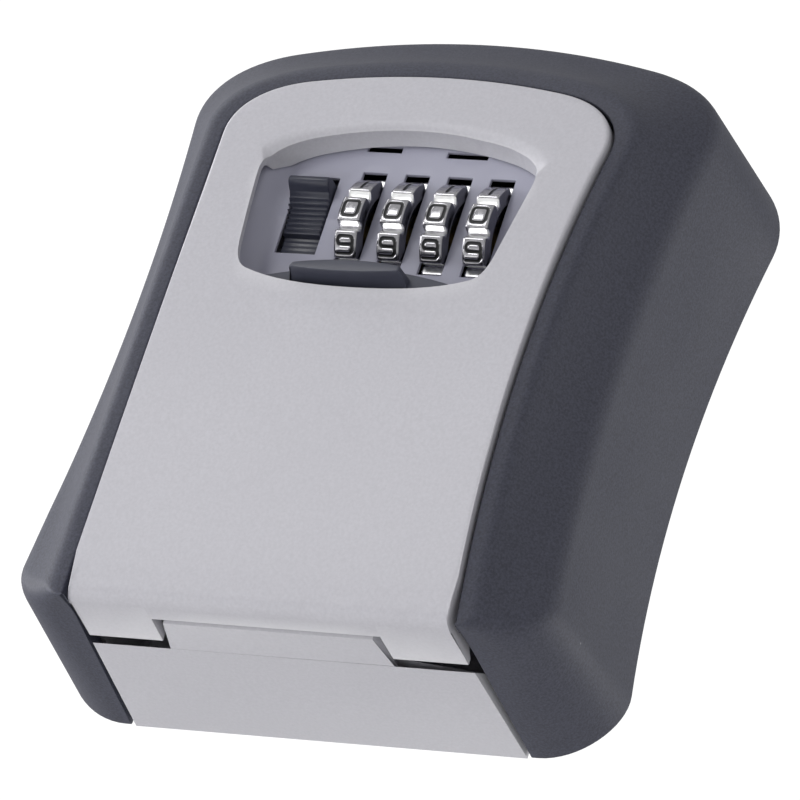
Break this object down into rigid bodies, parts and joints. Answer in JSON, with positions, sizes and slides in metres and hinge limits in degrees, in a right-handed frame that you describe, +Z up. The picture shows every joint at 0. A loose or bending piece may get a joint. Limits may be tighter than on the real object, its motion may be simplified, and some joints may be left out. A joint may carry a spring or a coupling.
{
  "type": "key cabinet",
  "caption": "Wall-mounted combination key cabinet: waisted dark case, light drop-down door with dial window, numbered wheels, release lever and sliding dial shutter.",
  "frame": {"origin": "centre of the flat back that lies on the wall", "axes": "+Y into the wall, +Z up, +X to the right as seen from the front"},
  "size_m": [0.0948, 0.0408, 0.113],
  "materials": {
    "case_dark": "fine textured powder coat, dark slate grey",
    "light_grey": "satin light grey paint with a fine grain",
    "panel_grey": "satin moulded plastic, blue-grey",
    "black_plastic": "moulded black plastic",
    "lever_plastic": "semi-gloss moulded black plastic",
    "shutter_plastic": "satin dark grey moulded plastic",
    "chrome": "plated, with black-filled digits",
    "brass": "plain turned brass",
    "steel": "zinc plated",
    "spring_steel": "bright spring steel",
    "screw_steel": "zinc plated"
  },
  "bodies": {
    "case": {"case_shell": "case_dark", "inner_tray": "light_grey", "strike_plate": "steel", "hinge_pin": "steel", "shell_screw_1": "screw_steel", "shell_screw_2": "screw_steel", "shell_screw_3": "screw_steel", "shell_screw_4": "screw_steel", "strike_screw_1": "screw_steel", "strike_screw_2": "screw_steel"},
    "door": {"front_door": "light_grey", "dial_panel": "panel_grey", "mechanism_cover": "black_plastic", "shutter_guide": "steel", "detent_spring": "spring_steel", "wheel_axle": "steel", "axle_clip_1": "spring_steel", "axle_clip_2": "spring_steel", "latch_spring": "spring_steel", "guide_screw_1": "screw_steel", "guide_screw_2": "screw_steel", "mechanism_screw_1": "screw_steel", "mechanism_screw_2": "screw_steel", "mechanism_screw_3": "screw_steel", "mechanism_screw_4": "screw_steel"},
    "shutter": {"weather_shutter": "shutter_plastic"},
    "latch": {"release_lever": "lever_plastic", "latch_bolt": "steel"},
    "wheel_1": {"number_wheel_1": "chrome", "code_cam_1": "brass"},
    "wheel_2": {"number_wheel_2": "chrome", "code_cam_2": "brass"},
    "wheel_3": {"number_wheel_3": "chrome", "code_cam_3": "brass"},
    "wheel_4": {"number_wheel_4": "chrome", "code_cam_4": "brass"},
    "reset": {"reset_lever": "black_plastic"},
    "clutch": {"clutch_bar": "steel"}
  },
  "joints": [
    {"name": "door_hinge", "type": "hinge", "parent": "case", "child": "door", "pos_m": [0, -0.0257, -0.0531], "axis": [1, 0, 0], "range_deg": [0, 95]},
    {"name": "shutter_slide", "type": "hinge", "parent": "door", "child": "shutter", "pos_m": [0, 0.2541, -0.014], "axis": [-1, 0, 0], "range_deg": [0, 5.2]},
    {"name": "latch_slide", "type": "slide", "parent": "door", "child": "latch", "axis": [0, 0, -1], "range_m": [0, 0.0035], "stiffness_N_per_m": 200, "springref_m": -0.004, "deforming": ["latch_spring"]},
    {"name": "wheel_1_spin", "type": "hinge", "parent": "door", "child": "wheel_1", "pos_m": [0, -0.0251, 0.0174], "axis": [1, 0, 0], "continuous": true},
    {"name": "wheel_2_spin", "type": "hinge", "parent": "door", "child": "wheel_2", "pos_m": [0, -0.0251, 0.0174], "axis": [1, 0, 0], "continuous": true},
    {"name": "wheel_3_spin", "type": "hinge", "parent": "door", "child": "wheel_3", "pos_m": [0, -0.0251, 0.0174], "axis": [1, 0, 0], "continuous": true},
    {"name": "wheel_4_spin", "type": "hinge", "parent": "door", "child": "wheel_4", "pos_m": [0, -0.0251, 0.0174], "axis": [1, 0, 0], "continuous": true},
    {"name": "reset_turn", "type": "hinge", "parent": "door", "child": "reset", "pos_m": [0.012, -0.0115, 0.0024], "axis": [0, -1, 0], "range_deg": [0, 60]},
    {"name": "clutch_slide", "type": "slide", "parent": "door", "child": "clutch", "axis": [1, 0, 0], "range_m": [0, 0.0015]}
  ],
  "couplings": [
    {"joint": "reset_turn", "follows": "clutch_slide", "rad_per_m": 698.13}
  ]
}
